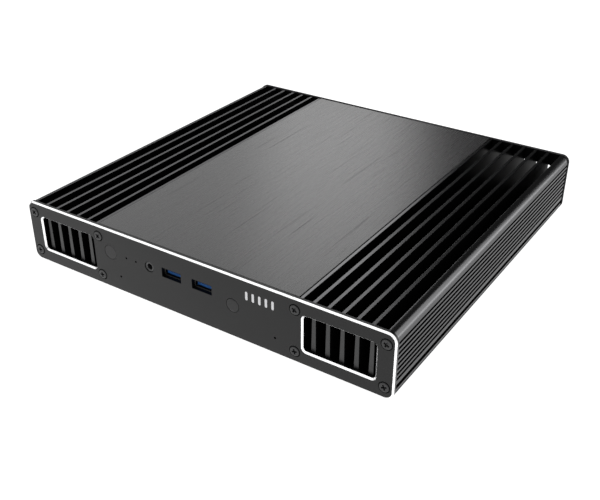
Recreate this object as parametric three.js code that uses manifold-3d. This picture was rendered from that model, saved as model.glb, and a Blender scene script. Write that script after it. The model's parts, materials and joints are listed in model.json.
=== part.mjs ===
// Fanless mini PC: a flat aluminium case. Two finned side extrusions carry a top cover
// and a base cover, and a front panel and a rear panel are screwed to their ends.
// Millimetres. +X is to the right, +Y to the rear, +Z up. The origin is the middle of
// the footprint, on the surface that the rubber feet stand on.
//
// Three frames are used, each a group:
//   body   x, y, z     z is 0 at the underside of the case, FOOT.height above the origin
//   front  u, v, w     u right and v up from the middle of the front panel,
//                      w outwards from the panel's inner face
//   rear   u, v, w     the same, as seen by someone who looks at the rear panel

import * as THREE from 'three';
import { mergeVertices } from 'three/addons/utils/BufferGeometryUtils.js';
import Module from 'manifold-3d';

const wasm = await Module();
wasm.setup();

// ---------------------------------------------------------------- driving dimensions

const DEPTH = 241.3;                      // over both panels
const FIT = 0.1;                          // gap between pieces that are clamped together
const PANEL = { width: 247.9, height: 39.1, thickness: 2.5, corner: 5, chamfer: 0.85 };
const CASE = { width: 247.3, height: 38.5, corner: 5, lowCorner: 4 };
const FOOT = { radius: 7, height: 2, x: 96, y: 98 };

const VENT = { u: 92.55, width: 41.7, height: 21.4, corner: 2.2 };

const FIN = { count: 5, first: 76.7, pitch: 8.3, top: 2, root: 3 };
const WEB_TOP = 4.5;
const INNER_WALL = { inner: 67.4, outer: 70.4 };
const OUTER_WALL = { inner: 118 };
const RAIL = { inner: 59.5, low: 29.2, high: 35.15 };
const SILL = { inner: 60, low: 2.15, high: 9.9 };
const RIB = { count: 8, top: 32.6, pitch: 3.07, mouth: 1.7, floor: 1.3, depth: 1.2 };
const SKIRT_GROOVE = { low: 5.3, high: 7.8 };

const COVER = { half: 68.2, rebate: 68.5, bottom: 35.3, top: 38.8 };
const BASE = { half: 68.2, thickness: 2 };

const PORT_ROW = 4.8;                     // v of the middles of the front ports
const IR = { u: -58.4, radius: 4.5 };
const LIGHTS = { u: [-46.4, -39.3], radius: 0.6, recess: 1.2 };
const MICS = { u: [-52.2, 54.8], v: -9.3, radius: 0.65 };
const JACK = { u: -29.4, radius: 3.2, bore: 1.8 };
const USB = { u: [-13.55, 7.5], cutWidth: 13.4, cutHeight: 5.8, mouthWidth: 12.5, mouthHeight: 5.12 };
const BUTTON = { u: 27.9, v: 0.8, radius: 4, hole: 4.15, flange: 5.4, travel: 1 };

const SCREW = { shank: 1.5, hole: 1.65, head: 2.8, sink: 3.3, sinkDepth: 1.25, proud: 0.45, length: 9 };
const RECESS = { reach: 3.2, slot: 0.8, depth: 0.9 };
const SCREW_U = [67, 118.8];
const SCREW_V = 12.75;
const BOSS_RADIUS = 3.2;
const COVER_SCREW = { x: 63, y: 65.5, headHeight: 1.6, roof: 0.7 };
const BASE_SCREW = { x: 63.5, y: 95, length: 7, head: 2.9, headDepth: 1.5, sink: 3.4, sinkDepth: 1.8 };

const FRONT_BOARD = { face: -13.6, thickness: 1.6, left: -64, right: 58.5, low: -14, high: 9 };
const TAB = { width: 6, thickness: 1.2, top: 14 };
const MAINBOARD = { side: 101.6, thickness: 1.6, bottom: 20, rear: 116.5 };
const POST = { x: 46.5, radius: 2.75, fromFront: 5, fromRear: 25 };
const HEADER = { x: -20, y: 26, width: 8, depth: 4, height: 3 };
const CHIP = { x: 0, y: 66, width: 42, depth: 24, die: [15, 9] };
const THERMAL_BLOCK = 46;
const MEMORY = { width: 67.6, depth: 30, thickness: 1.2, rear: 82.5, drop: 2.8 };
const MEMORY_FRAME = { width: 71, front: 53, rear: 87, height: 5.2, inner: 68.4 };
const SSD = { left: -40, right: 37, front: 19, rear: 41, thickness: 0.8, drop: 3 };
const DRIVE = { width: 70, depth: 100, height: 7, front: -98 };
const LEAD_RADIUS = 1.5;

// The ports on the rear panel hang under the mainboard.
const REAR = {
  inlet: { u: -40, width: 11, height: 11, depth: 14, cut: 5.2, bore: 3, pin: 1.2 },
  hdmi: { u: -20, width: 15.2, height: 5.8, depth: 12 },
  lan: { u: 1, width: 16, height: 13.4, depth: 21, mouthWidth: 11.9, mouthHeight: 8, latch: 6.2 },
  usb: { u: 23, width: 14.4, height: 15.4, depth: 17, pitch: 7.6 },
};

const INNER = DEPTH / 2 - PANEL.thickness;   // from the middle to a panel's inner face
const MIDDLE = CASE.height / 2;              // height of the panels' middles in the body frame
const BOARD_BACK_Y = FRONT_BOARD.thickness - FRONT_BOARD.face - INNER;
const REAR_TOP = MAINBOARD.bottom - FIT - MIDDLE;
const REAR_CLEARANCE = 0.3;

// ---------------------------------------------------------------- colours

const finish = (color, roughness, metalness) =>
  new THREE.MeshStandardMaterial({ color, roughness, metalness });

const MATERIAL = {
  anodised: finish(0x2b2b2d, 0.45, 0.8),
  brushed: finish(0x39393b, 0.35, 0.85),
  panel: finish(0x303032, 0.5, 0.7),
  screw: finish(0x18181a, 0.4, 0.8),
  rubber: finish(0x141414, 0.9, 0),
  tintedPlastic: finish(0x101014, 0.15, 0),
  clearPlastic: finish(0xd8dce0, 0.2, 0),
  blackPlastic: finish(0x121212, 0.5, 0),
  usbBlue: finish(0x1f62b4, 0.4, 0),
  nickel: finish(0xa8a8ac, 0.3, 1),
  board: finish(0x10301c, 0.6, 0),
  silicon: finish(0x55575a, 0.3, 0.3),
  aluminium: finish(0xb8babd, 0.4, 0.9),
};

// ---------------------------------------------------------------- solids

function solidOf(geometry) {
  const bare = geometry.index ? geometry.toNonIndexed() : geometry.clone();
  bare.deleteAttribute('normal');
  bare.deleteAttribute('uv');
  const merged = mergeVertices(bare, 1e-4);
  return new wasm.Manifold(new wasm.Mesh({
    numProp: 3,
    vertProperties: new Float32Array(merged.attributes.position.array),
    triVerts: new Uint32Array(merged.index.array),
  }));
}

function geometryOf(solid) {
  const mesh = solid.getMesh();
  const geometry = new THREE.BufferGeometry();
  geometry.setAttribute('position', new THREE.BufferAttribute(mesh.vertProperties, 3));
  geometry.setIndex(new THREE.BufferAttribute(mesh.triVerts, 1));
  return geometry;
}

function cut(geometry, tools) {
  return geometryOf(tools.reduce((solid, tool) => solid.subtract(solidOf(tool)), solidOf(geometry)));
}

function join(pieces) {
  return geometryOf(pieces.map(solidOf).reduce((solid, piece) => solid.add(piece)));
}

// A box from its lowest to its highest corner.
function block([x0, y0, z0], [x1, y1, z1]) {
  return new THREE.BoxGeometry(x1 - x0, y1 - y0, z1 - z0)
    .translate((x0 + x1) / 2, (y0 + y1) / 2, (z0 + z1) / 2);
}

// A box by its middle in the first two coordinates and its reach in the third.
function bar(x, y, width, height, low, high) {
  return block([x - width / 2, y - height / 2, low], [x + width / 2, y + height / 2, high]);
}

// A cylinder along the third coordinate.
function rod(x, y, radius, low, high, segments = 12) {
  return new THREE.CylinderGeometry(radius, radius, high - low, segments)
    .rotateX(Math.PI / 2)
    .translate(x, y, (low + high) / 2);
}

// A cylinder along Y, for holes that run with the extrusions.
function rodAlongY(x, z, radius, low, high, segments = 12) {
  return new THREE.CylinderGeometry(radius, radius, high - low, segments)
    .translate(x, (low + high) / 2, z);
}

// A turned piece about the third coordinate, from [radius, height] pairs.
function turned(profile, segments = 12) {
  const points = profile.map(([radius, height]) => new THREE.Vector2(radius, height));
  return new THREE.LatheGeometry(points, segments).rotateX(Math.PI / 2);
}

function roundedRectangle(path, u, v, width, height, radius) {
  const [left, right, low, high] = [u - width / 2, u + width / 2, v - height / 2, v + height / 2];
  path.moveTo(left + radius, low);
  path.lineTo(right - radius, low);
  path.absarc(right - radius, low + radius, radius, -Math.PI / 2, 0);
  path.lineTo(right, high - radius);
  path.absarc(right - radius, high - radius, radius, 0, Math.PI / 2);
  path.lineTo(left + radius, high);
  path.absarc(left + radius, high - radius, radius, Math.PI / 2, Math.PI);
  path.lineTo(left, low + radius);
  path.absarc(left + radius, low + radius, radius, Math.PI, Math.PI * 1.5);
  return path;
}

// ---------------------------------------------------------------- assembly

const miniPc = new THREE.Group();
const body = new THREE.Group();
const front = new THREE.Group();
const rear = new THREE.Group();
body.position.z = FOOT.height;
front.position.set(0, -INNER, MIDDLE);
front.rotation.set(Math.PI / 2, 0, 0);
rear.position.set(0, INNER, MIDDLE);
rear.rotation.set(Math.PI / 2, Math.PI, 0);
body.add(front, rear);
miniPc.add(body);

function place(group, name, geometry, material) {
  const mesh = new THREE.Mesh(geometry, material);
  mesh.name = name;
  group.add(mesh);
  return mesh;
}

// ---------------------------------------------------------------- side extrusions

// The section of the right extrusion, or of the left one where side is -1.
function extrusionSection(side) {
  const shape = new THREE.Shape();
  const to = (x, z) => shape.lineTo(side * x, z);
  const bend = (x, z, radius, from, till, steps) => {
    for (let i = 0; i <= steps; i += 1) {
      const angle = THREE.MathUtils.degToRad(from + (till - from) * (i / steps));
      to(x + radius * Math.cos(angle), z + radius * Math.sin(angle));
    }
  };

  // Sill, inner wall and rail, from the base cover's rebate to the top cover's rebate.
  shape.moveTo(side * COVER.rebate, 0);
  to(COVER.rebate, SILL.low);
  to(SILL.inner, SILL.low);
  to(SILL.inner, SILL.high);
  to(INNER_WALL.inner, SILL.high);
  to(INNER_WALL.inner, RAIL.low);
  to(RAIL.inner, RAIL.low);
  to(RAIL.inner, RAIL.high);
  to(COVER.rebate, RAIL.high);
  to(COVER.rebate, CASE.height);
  to(INNER_WALL.outer, CASE.height);
  to(INNER_WALL.outer, WEB_TOP);

  // Tapered fins on the web.
  for (let i = 0; i < FIN.count; i += 1) {
    const x = FIN.first + i * FIN.pitch;
    to(x - FIN.root / 2, WEB_TOP);
    to(x - FIN.top / 2, CASE.height);
    to(x + FIN.top / 2, CASE.height);
    to(x + FIN.root / 2, WEB_TOP);
  }

  // Inner face of the outer wall, with a boss for each row of panel screws.
  const bossX = SCREW_U[1];
  const lowBoss = MIDDLE - SCREW_V;
  const highBoss = MIDDLE + SCREW_V;
  const lean = THREE.MathUtils.radToDeg(Math.acos((OUTER_WALL.inner - bossX) / BOSS_RADIUS));
  const footing = 180 + THREE.MathUtils.radToDeg(Math.asin((lowBoss - WEB_TOP) / BOSS_RADIUS));
  bend(bossX, lowBoss, BOSS_RADIUS, footing, lean, 6);
  bend(bossX, highBoss, BOSS_RADIUS, 360 - lean, lean, 8);
  to(OUTER_WALL.inner, CASE.height);

  // Rounded shoulder, ribbed outer face, rounded lower edge.
  const outer = CASE.width / 2;
  const groove = (low, high) => {
    const draft = (RIB.mouth - RIB.floor) / 2;
    to(outer, high);
    to(outer - RIB.depth, high - draft);
    to(outer - RIB.depth, low + draft);
    to(outer, low);
  };
  bend(outer - CASE.corner, CASE.height - CASE.corner, CASE.corner, 90, 0, 8);
  for (let i = 0; i < RIB.count; i += 1) {
    const middle = RIB.top - i * RIB.pitch;
    groove(middle - RIB.mouth / 2, middle + RIB.mouth / 2);
  }
  groove(SKIRT_GROOVE.low, SKIRT_GROOVE.high);
  bend(outer - CASE.lowCorner, CASE.lowCorner, CASE.lowCorner, 0, -90, 8);
  return shape;
}

function heatsink(side) {
  const half = INNER - FIT;
  const depth = SCREW.length + 1;
  const blank = new THREE.ExtrudeGeometry(extrusionSection(side), { depth: 2 * half, bevelEnabled: false })
    .rotateX(Math.PI / 2)
    .translate(0, half, 0);
  const holes = [];
  for (const end of [-1, 1]) {
    for (const x of SCREW_U) {
      for (const z of [MIDDLE - SCREW_V, MIDDLE + SCREW_V]) {
        const reach = [end * (half + 1), end * (half - depth)].sort((a, b) => a - b);
        holes.push(rodAlongY(side * x, z, SCREW.hole, ...reach));
      }
    }
    holes.push(rod(side * COVER_SCREW.x, end * COVER_SCREW.y, SCREW.hole, RAIL.low - 1, RAIL.high + 1));
    holes.push(rod(side * BASE_SCREW.x, end * BASE_SCREW.y, SCREW.hole, SILL.low - 1, SILL.high - 2));
  }
  return cut(blank, holes);
}

place(body, 'left_heatsink', heatsink(-1), MATERIAL.anodised);
place(body, 'right_heatsink', heatsink(1), MATERIAL.anodised);

// ---------------------------------------------------------------- covers

function topCover() {
  const half = INNER - FIT;
  const plate = block([-COVER.half, -half, COVER.bottom], [COVER.half, half, COVER.top]);
  const holes = [];
  for (const x of [-COVER_SCREW.x, COVER_SCREW.x]) {
    for (const y of [-COVER_SCREW.y, COVER_SCREW.y]) {
      holes.push(rod(x, y, SCREW.hole, COVER.bottom - 1, COVER.top - COVER_SCREW.roof));
    }
  }
  return cut(plate, holes);
}

// The base plate, with the pressed-in posts of the mainboard and two tabs for the front board.
function baseCover() {
  const half = INNER - FIT;
  const plate = block([-BASE.half, -half, 0], [BASE.half, half, BASE.thickness]);
  const fixings = [];
  const postRows = [MAINBOARD.rear - MAINBOARD.side + POST.fromFront, MAINBOARD.rear - POST.fromRear];
  for (const x of [-POST.x, POST.x]) {
    for (const y of postRows) {
      fixings.push(rod(x, y, POST.radius, BASE.thickness - 1, MAINBOARD.bottom - FIT));
    }
    const tabY = BOARD_BACK_Y + FIT + TAB.thickness / 2;
    fixings.push(bar(x, tabY, TAB.width, TAB.thickness, BASE.thickness - 1, TAB.top));
  }
  const { sink, sinkDepth } = BASE_SCREW;
  const holes = [];
  for (const x of [-BASE_SCREW.x, BASE_SCREW.x]) {
    for (const y of [-BASE_SCREW.y, BASE_SCREW.y]) {
      holes.push(turned([
        [0, -1], [sink, -1], [sink, 0], [SCREW.hole, sinkDepth],
        [SCREW.hole, BASE.thickness + 1], [0, BASE.thickness + 1],
      ]).translate(x, y, 0));
    }
  }
  return cut(join([plate, ...fixings]), holes);
}

place(body, 'top_cover', topCover(), MATERIAL.brushed);
place(body, 'base_cover', baseCover(), MATERIAL.anodised);

// ---------------------------------------------------------------- panels

// A panel with its two vents and its sunk screw holes.
function blankPanel(plate) {
  const holes = [];
  for (const u of SCREW_U.flatMap((x) => [-x, x])) {
    for (const v of [-SCREW_V, SCREW_V]) {
      holes.push(rod(u, v, SCREW.sink, PANEL.thickness - SCREW.sinkDepth, PANEL.thickness + 1));
      holes.push(rod(u, v, SCREW.hole + 0.1, -1, PANEL.thickness));
    }
  }
  return cut(plate, holes);
}

function panelOutline() {
  const outline = roundedRectangle(new THREE.Shape(), 0, 0, PANEL.width, PANEL.height, PANEL.corner);
  for (const side of [-1, 1]) {
    const { u, width, height, corner } = VENT;
    outline.holes.push(roundedRectangle(new THREE.Path(), side * u, 0, width, height, corner));
  }
  return outline;
}

// The front panel's edge and vents are cut bright at a slant, all round.
function slantedPlate() {
  const spare = PANEL.chamfer + 1;
  const plate = new THREE.ExtrudeGeometry(panelOutline(), {
    depth: PANEL.thickness - PANEL.chamfer + spare,
    bevelEnabled: true,
    bevelThickness: PANEL.chamfer,
    bevelSize: PANEL.chamfer,
    bevelOffset: -PANEL.chamfer,
    bevelSegments: 1,
    curveSegments: 4,
  }).translate(0, 0, -spare);
  return cut(plate, [bar(0, 0, PANEL.width + 10, PANEL.height + 10, -9, 0)]);
}

function plainPlate() {
  return new THREE.ExtrudeGeometry(panelOutline(), {
    depth: PANEL.thickness,
    bevelEnabled: false,
    curveSegments: 4,
  });
}

function frontPanel() {
  const through = [-1, PANEL.thickness + 1];
  return cut(blankPanel(slantedPlate()), [
    rod(IR.u, PORT_ROW, IR.radius, ...through, 24),
    ...LIGHTS.u.map((u) => rod(u, PORT_ROW, LIGHTS.radius, ...through, 10)),
    ...MICS.u.map((u) => rod(u, MICS.v, MICS.radius, ...through, 10)),
    rod(JACK.u, PORT_ROW, JACK.radius, ...through, 20),
    ...USB.u.map((u) => bar(u, PORT_ROW, USB.cutWidth, USB.cutHeight, ...through)),
    rod(BUTTON.u, BUTTON.v, BUTTON.hole, ...through, 24),
  ]);
}

// An opening for a socket that hangs from the mainboard, a little larger than the socket.
function portCut({ u, width, height }) {
  const spare = 2 * REAR_CLEARANCE;
  return bar(u, REAR_TOP - height / 2, width + spare, height + spare, -1, PANEL.thickness + 1);
}

function rearPanel() {
  const { inlet, hdmi, lan, usb } = REAR;
  return cut(blankPanel(plainPlate()), [
    rod(inlet.u, REAR_TOP - inlet.height / 2, inlet.cut, -1, PANEL.thickness + 1, 24),
    portCut(hdmi),
    portCut(lan),
    portCut(usb),
  ]);
}

place(front, 'front_panel', frontPanel(), MATERIAL.panel);
place(rear, 'rear_panel', rearPanel(), MATERIAL.panel);

// ---------------------------------------------------------------- fasteners and feet

// Cross recess for a screwdriver, from the head's top downwards.
function crossRecess() {
  const { reach, slot, depth } = RECESS;
  return [bar(0, 0, reach, slot, -depth, 1), bar(0, 0, slot, reach, -depth, 1)];
}

// A low-head screw with its head's top at height 0.
function lowHeadScrew(headHeight, length) {
  const { head, shank } = SCREW;
  const tip = -headHeight - length;
  return cut(turned([
    [0, tip], [shank, tip], [shank, -headHeight],
    [head, -headHeight], [head, -0.35], [head - 0.5, 0], [0, 0],
  ]), crossRecess());
}

// A flat-head screw with its head's top at height 0.
function flatHeadScrew() {
  const { length, head, headDepth } = BASE_SCREW;
  return cut(turned([
    [0, -length], [SCREW.shank, -length], [SCREW.shank, -headDepth], [head, 0], [0, 0],
  ]), crossRecess());
}

const panelHeadHeight = SCREW.sinkDepth + SCREW.proud - FIT / 2;
for (const [side, group] of [['front', front], ['rear', rear]]) {
  const columns = [-SCREW_U[1], -SCREW_U[0], SCREW_U[0], SCREW_U[1]];
  columns.forEach((u, column) => {
    [SCREW_V, -SCREW_V].forEach((v, row) => {
      const name = `${side}_screw_${column * 2 + row + 1}`;
      place(group, name, lowHeadScrew(panelHeadHeight, SCREW.length), MATERIAL.screw)
        .position.set(u, v, PANEL.thickness + SCREW.proud);
    });
  });
}

const corners = [[-1, -1], [1, -1], [1, 1], [-1, 1]];
corners.forEach(([sideX, sideY], i) => {
  const { headHeight, roof } = COVER_SCREW;
  const coverScrewLength = COVER.top - roof - RAIL.low - 0.4;
  const coverScrew = lowHeadScrew(headHeight, coverScrewLength).rotateX(Math.PI);
  place(body, `cover_screw_${i + 1}`, coverScrew, MATERIAL.screw)
    .position.set(sideX * COVER_SCREW.x, sideY * COVER_SCREW.y, RAIL.low - FIT - headHeight);

  place(body, `base_screw_${i + 1}`, flatHeadScrew().rotateX(Math.PI), MATERIAL.screw)
    .position.set(sideX * BASE_SCREW.x, sideY * BASE_SCREW.y, FIT);

  const { radius, height } = FOOT;
  const softEdge = 0.6;
  const foot = turned([
    [0, -height], [radius - softEdge, -height], [radius, softEdge - height],
    [radius, -FIT / 2], [0, -FIT / 2],
  ], 16);
  place(body, `foot_${i + 1}`, foot, MATERIAL.rubber).position.set(sideX * FOOT.x, sideY * FOOT.y, 0);
});

// ---------------------------------------------------------------- behind the front panel

const windowRadius = IR.radius - FIT;
const windowFlange = windowRadius + 0.7;
const flangeBack = -1.2;
place(front, 'ir_window', turned([
  [0, flangeBack], [windowFlange, flangeBack], [windowFlange, -FIT],
  [windowRadius, -FIT], [windowRadius, PANEL.thickness - 0.05], [0, PANEL.thickness - 0.05],
], 24), MATERIAL.tintedPlastic).position.set(IR.u, PORT_ROW, 0);

LIGHTS.u.forEach((u, i) => {
  const pipeEnd = PANEL.thickness - LIGHTS.recess;
  const pipe = rod(u, PORT_ROW, LIGHTS.radius - 0.08, FRONT_BOARD.face + FIT, pipeEnd, 10);
  place(front, `led_pipe_${i + 1}`, pipe, MATERIAL.clearPlastic);
});

MICS.u.forEach((u, i) => {
  const capsule = cut(
    rod(u, MICS.v, 3, FRONT_BOARD.face + FIT, -FIT, 16),
    [rod(u, MICS.v, MICS.radius, -3, 1, 10)],
  );
  place(front, `microphone_${i + 1}`, capsule, MATERIAL.rubber);
});

place(front, 'headphone_jack', cut(
  join([
    bar(JACK.u, PORT_ROW, 8, 8, FRONT_BOARD.face + FIT, -FIT),
    rod(JACK.u, PORT_ROW, JACK.radius - 0.15, -1, PANEL.thickness - 0.4, 20),
  ]),
  [rod(JACK.u, PORT_ROW, JACK.bore, FRONT_BOARD.face + 1.5, PANEL.thickness + 1, 16)],
), MATERIAL.blackPlastic);

// The front sockets are mounted with their tongues low in the mouths.
const TONGUE = { width: 11.1, thickness: 1.84, offset: 0.92 };
USB.u.forEach((u, i) => {
  const back = FRONT_BOARD.face + FIT;
  place(front, `front_usb_shell_${i + 1}`, cut(
    bar(u, PORT_ROW, USB.mouthWidth + 1.6, USB.mouthHeight + 1.4, back, -FIT),
    [bar(u, PORT_ROW, USB.mouthWidth, USB.mouthHeight, back - 1, 1)],
  ), MATERIAL.nickel);
  place(front, `front_usb_tongue_${i + 1}`, join([
    bar(u, PORT_ROW, USB.mouthWidth - 0.2, USB.mouthHeight - 0.2, back, back + 2.4),
    bar(u, PORT_ROW - TONGUE.offset, TONGUE.width, TONGUE.thickness, back + 1, -0.8),
  ]), MATERIAL.usbBlue);
});

// The button's cap slides in the panel, a flange behind the panel keeps it in, and its
// stem pushes the plunger of the switch on the front board.
const plungerTip = -8.2;
const stemRadius = 1.8;
place(front, 'power_button', turned([
  [0, plungerTip + FIT], [stemRadius, plungerTip + FIT],
  [stemRadius, flangeBack], [BUTTON.flange, flangeBack],
  [BUTTON.flange, -FIT], [BUTTON.radius, -FIT], [BUTTON.radius, PANEL.thickness - 0.2],
  [BUTTON.radius - 0.2, PANEL.thickness], [0, PANEL.thickness],
], 24), MATERIAL.panel).position.set(BUTTON.u, BUTTON.v, 0);

const switchFront = -10;
const switchSide = 6;
const plungerRadius = 1.6;
const plungerTail = switchFront - 0.6;
const plunger = rod(BUTTON.u, BUTTON.v, plungerRadius, plungerTail, plungerTip, 14);
place(front, 'switch_plunger', plunger, MATERIAL.blackPlastic);

const wellFloor = plungerTail - BUTTON.travel - 0.3;
place(front, 'power_switch', cut(
  bar(BUTTON.u, BUTTON.v, switchSide, switchSide, FRONT_BOARD.face + FIT, switchFront),
  [rod(BUTTON.u, BUTTON.v, plungerRadius + 0.2, wellFloor, switchFront + 1, 14)],
), MATERIAL.nickel);

// The board has a notch at its lower left corner, and carries the infrared receiver.
const boardBack = FRONT_BOARD.face - FRONT_BOARD.thickness;
const notch = { width: 6, height: 5 };
const receiver = { width: 5.6, height: 7, front: -6 };
place(front, 'front_io_board', join([
  block(
    [FRONT_BOARD.left, FRONT_BOARD.low + notch.height, boardBack],
    [FRONT_BOARD.right, FRONT_BOARD.high, FRONT_BOARD.face],
  ),
  block(
    [FRONT_BOARD.left + notch.width, FRONT_BOARD.low, boardBack],
    [FRONT_BOARD.right, FRONT_BOARD.low + notch.height + 1, FRONT_BOARD.face],
  ),
  bar(IR.u, PORT_ROW, receiver.width, receiver.height, FRONT_BOARD.face - 1, receiver.front),
]), MATERIAL.board);

// ---------------------------------------------------------------- mainboard and what is on it

const boardFront = MAINBOARD.rear - MAINBOARD.side;
const boardTop = MAINBOARD.bottom + MAINBOARD.thickness;

place(body, 'mainboard', join([
  block([-MAINBOARD.side / 2, boardFront, MAINBOARD.bottom], [MAINBOARD.side / 2, MAINBOARD.rear, boardTop]),
  bar(HEADER.x, HEADER.y, HEADER.width, HEADER.depth, boardTop - 1, boardTop + HEADER.height),
]), MATERIAL.board);

const chipTop = boardTop + 1.6;
place(body, 'processor', join([
  bar(CHIP.x, CHIP.y, CHIP.width, CHIP.depth, boardTop + FIT, boardTop + 1.2),
  bar(CHIP.x, CHIP.y, ...CHIP.die, boardTop + 1, chipTop),
]), MATERIAL.silicon);

const thermalBlock = bar(CHIP.x, CHIP.y, THERMAL_BLOCK, THERMAL_BLOCK, chipTop + FIT, COVER.bottom - FIT);
place(body, 'thermal_block', thermalBlock, MATERIAL.aluminium);

// A frame round the memory module, with arms in front and a slot for its contacts behind.
const underBoard = MAINBOARD.bottom - FIT;
const memoryMiddle = underBoard - MEMORY.drop - MEMORY.thickness / 2;
const slotHeight = MEMORY.thickness + 0.4;
place(body, 'memory_socket', cut(
  block(
    [-MEMORY_FRAME.width / 2, MEMORY_FRAME.front, underBoard - MEMORY_FRAME.height],
    [MEMORY_FRAME.width / 2, MEMORY_FRAME.rear, underBoard],
  ),
  [
    block(
      [-MEMORY_FRAME.inner / 2, MEMORY_FRAME.front - 1, underBoard - MEMORY_FRAME.height - 1],
      [MEMORY_FRAME.inner / 2, MEMORY_FRAME.rear - 7, underBoard + 1],
    ),
    block(
      [-MEMORY_FRAME.inner / 2, MEMORY_FRAME.rear - 8, memoryMiddle - slotHeight / 2],
      [MEMORY_FRAME.inner / 2, MEMORY.rear + 0.5, memoryMiddle + slotHeight / 2],
    ),
  ],
), MATERIAL.blackPlastic);
place(body, 'memory_module', block(
  [-MEMORY.width / 2, MEMORY.rear - MEMORY.depth, memoryMiddle - MEMORY.thickness / 2],
  [MEMORY.width / 2, MEMORY.rear, memoryMiddle + MEMORY.thickness / 2],
), MATERIAL.board);

// The SSD's board, its chips, and the socket that it is plugged into.
const ssdTop = underBoard - SSD.drop;
place(body, 'ssd_module', join([
  block([SSD.left, SSD.front, ssdTop - SSD.thickness], [SSD.right, SSD.rear, ssdTop]),
  block([SSD.left + 6, SSD.front + 1, ssdTop - 0.2], [SSD.right - 17, SSD.rear - 1, ssdTop + 1.5]),
  block([SSD.right - 1, SSD.front, ssdTop - SSD.thickness - 0.4], [SSD.right + 5, SSD.rear, underBoard]),
]), MATERIAL.board);

const driveBottom = BASE.thickness + 0.2;
place(body, 'sata_drive', block(
  [-DRIVE.width / 2, DRIVE.front, driveBottom],
  [DRIVE.width / 2, DRIVE.front + DRIVE.depth, driveBottom + DRIVE.height],
), MATERIAL.aluminium);

// ---------------------------------------------------------------- sockets at the rear panel

const rearFace = PANEL.thickness - 0.4;

// The outer block of a socket that hangs under the mainboard.
function socketBlock({ u, width, height, depth }) {
  return bar(u, REAR_TOP - height / 2, width, height, rearFace - depth, rearFace);
}

function lanSocket() {
  const { u, height, mouthWidth, mouthHeight, latch } = REAR.lan;
  const v = REAR_TOP - height / 2 + 0.6;
  return cut(socketBlock(REAR.lan), [
    bar(u, v, mouthWidth, mouthHeight, rearFace - 12, rearFace + 1),
    bar(u, v - mouthHeight / 2 - 0.8, latch, 2, rearFace - 9, rearFace + 1),
  ]);
}

// A mouth with a tongue in it, which is left standing on the mouth's floor.
function mouthWithTongue(u, v, width, height, tongue, depth) {
  const mouth = bar(u, v, width, height, rearFace - depth, rearFace + 1);
  const { width: across, thickness, offset } = tongue;
  return cut(mouth, [bar(u, v + offset, across, thickness, rearFace - depth - 1, rearFace - 0.9)]);
}

function hdmiSocket() {
  const { u, height } = REAR.hdmi;
  const tongue = { width: 11.6, thickness: 1.2, offset: 0.3 };
  return cut(socketBlock(REAR.hdmi), [mouthWithTongue(u, REAR_TOP - height / 2, 14, 4.6, tongue, 8.5)]);
}

function rearUsbStack() {
  const { u, height, pitch } = REAR.usb;
  const mouths = [-0.5, 0.5].map((step) => mouthWithTongue(
    u, REAR_TOP - height / 2 + step * pitch, USB.mouthWidth, USB.mouthHeight, TONGUE, 9.5,
  ));
  return cut(socketBlock(REAR.usb), mouths);
}

function powerInlet() {
  const { u, height, bore, pin, cut: hole } = REAR.inlet;
  const v = REAR_TOP - height / 2;
  const housing = bar(u, v, height, height, -REAR.inlet.depth, -FIT);
  const collar = rod(u, v, hole - REAR_CLEARANCE, -1, rearFace, 24);
  const ring = cut(rod(u, v, bore, -9, rearFace + 1, 20), [rod(u, v, pin, -10, rearFace - 1.5, 12)]);
  return cut(join([housing, collar]), [ring]);
}

place(rear, 'lan_socket', lanSocket(), MATERIAL.nickel);
place(rear, 'hdmi_socket', hdmiSocket(), MATERIAL.nickel);
place(rear, 'rear_usb_stack', rearUsbStack(), MATERIAL.nickel);
place(rear, 'power_inlet', powerInlet(), MATERIAL.blackPlastic);

// ---------------------------------------------------------------- lead from board to board

const leadRoute = new THREE.CatmullRomCurve3([
  new THREE.Vector3(HEADER.x, BOARD_BACK_Y + FIT, 15),
  new THREE.Vector3(HEADER.x, -98, 15),
  new THREE.Vector3(HEADER.x - 2, -80, 12.5),
  new THREE.Vector3(-10, -45, 11.2),
  new THREE.Vector3(-8, -15, 12.5),
  new THREE.Vector3(-16, 5, 20),
  new THREE.Vector3(HEADER.x, 15, boardTop + 2),
  new THREE.Vector3(HEADER.x, HEADER.y - HEADER.depth / 2 - FIT, boardTop + 1.7),
]);
const leadSection = new THREE.Shape().absarc(0, 0, LEAD_RADIUS, 0, 2 * Math.PI);
place(body, 'front_io_cable', new THREE.ExtrudeGeometry(leadSection, {
  steps: 30, curveSegments: 4, extrudePath: leadRoute, bevelEnabled: false,
}), MATERIAL.blackPlastic);

export default miniPc;
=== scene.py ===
import json
import math

import bmesh
import bpy
from mathutils import Matrix, Vector
from mathutils.geometry import tessellate_polygon

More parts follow.
